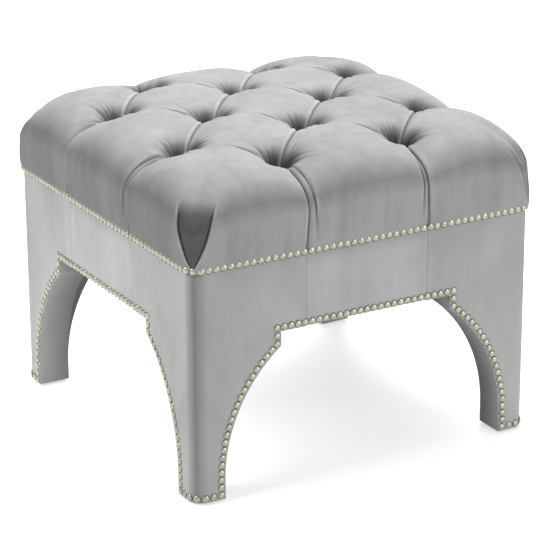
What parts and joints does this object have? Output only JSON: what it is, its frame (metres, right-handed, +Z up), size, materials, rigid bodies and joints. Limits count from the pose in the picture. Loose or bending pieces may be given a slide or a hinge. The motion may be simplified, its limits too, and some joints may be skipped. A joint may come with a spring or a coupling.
{
  "type": "tufted stool",
  "caption": "Square upholstered stool with a deep-tufted velvet cushion, arched velvet-covered base and rows of domed nails round the seat and the arches.",
  "frame": {"origin": "on the floor, under the middle of the stool", "axes": "+Z up; -Y is the front face, and the four faces are alike"},
  "size_m": [0.574, 0.574, 0.487],
  "materials": {
    "velvet": "short-pile velvet, light grey",
    "pine": "sawn softwood",
    "dowel_wood": "beech, fluted",
    "plywood": "birch plywood",
    "screw_steel": "yellow zinc plate",
    "washer_steel": "zinc plate",
    "staple_wire": "galvanised wire",
    "foam": "open-cell foam",
    "wadding": "polyester fibre",
    "twine": "waxed twine",
    "cambric": "non-woven black cloth",
    "nail_metal": "pale champagne plate, polished",
    "glide_nylon": "moulded nylon"
  },
  "bodies": {
    "root": {"seat_cover": "velvet", "tuft_buttons": "velvet", "leg_cover_front_left": "velvet", "leg_cover_front_right": "velvet", "leg_cover_back_right": "velvet", "leg_cover_back_left": "velvet", "apron_cover_front": "velvet", "apron_cover_right": "velvet", "apron_cover_back": "velvet", "apron_cover_left": "velvet", "post_front_left": "pine", "post_front_right": "pine", "post_back_right": "pine", "post_back_left": "pine", "rail_front": "pine", "rail_right": "pine", "rail_back": "pine", "rail_left": "pine", "bracket_front_left": "pine", "bracket_front_right": "pine", "bracket_right_left": "pine", "bracket_right_right": "pine", "bracket_back_left": "pine", "bracket_back_right": "pine", "bracket_left_left": "pine", "bracket_left_right": "pine", "corner_block_front_left": "pine", "corner_block_front_right": "pine", "corner_block_back_right": "pine", "corner_block_back_left": "pine", "rail_dowels": "dowel_wood", "deck_panel": "plywood", "deck_screws": "screw_steel", "corner_block_screws": "screw_steel", "bracket_screws": "screw_steel", "twine_washers": "washer_steel", "dust_cover_staples": "staple_wire", "seat_foam": "foam", "seat_wadding": "wadding", "tuft_twines": "twine", "dust_cover": "cambric", "seat_nails_front": "nail_metal", "seat_nails_right": "nail_metal", "seat_nails_back": "nail_metal", "seat_nails_left": "nail_metal", "edge_nails_front": "nail_metal", "edge_nails_right": "nail_metal", "edge_nails_back": "nail_metal", "edge_nails_left": "nail_metal", "glide_front_left": "glide_nylon", "glide_front_right": "glide_nylon", "glide_back_right": "glide_nylon", "glide_back_left": "glide_nylon"}
  },
  "joints": []
}
